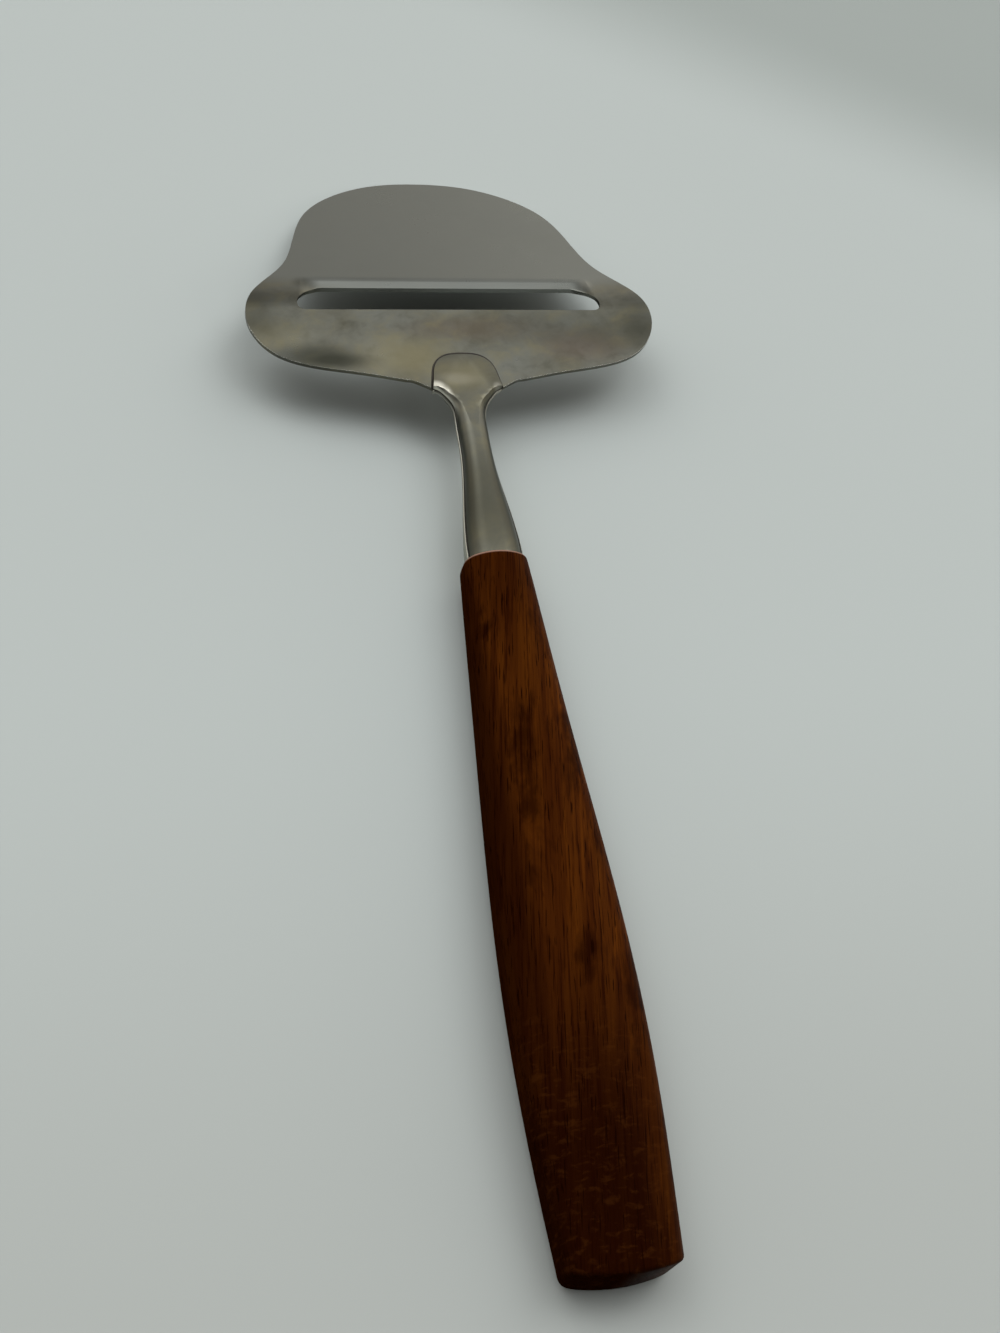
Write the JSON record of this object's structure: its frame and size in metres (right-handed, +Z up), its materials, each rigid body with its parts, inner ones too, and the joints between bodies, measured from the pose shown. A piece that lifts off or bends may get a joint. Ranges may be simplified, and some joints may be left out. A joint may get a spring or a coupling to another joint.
{
  "type": "cheese slicer",
  "caption": "Stainless cheese slicer with a rounded, down-sloping tongue, a wide cutting slot, a hollow pressed neck and a flared teak handle.",
  "frame": {"origin": "centre of the outline seen from above, on the surface that the slicer lies on", "axes": "X across the blade, +Y from the butt of the handle to the tip of the tongue, +Z up, with the slicer lying right way up"},
  "size_m": [0.0878, 0.2451, 0.0135],
  "materials": {
    "blade_steel": "satin, lightly worn",
    "neck_steel": "satin, lightly tarnished",
    "tang_steel": "mill finish, hidden",
    "teak": "dark, oiled, lengthwise grain"
  },
  "bodies": {
    "root": {"slicer_blade": "blade_steel", "neck_top_shell": "neck_steel", "neck_bottom_shell": "neck_steel", "neck_plug": "tang_steel", "tang": "tang_steel", "handle": "teak"}
  },
  "joints": []
}
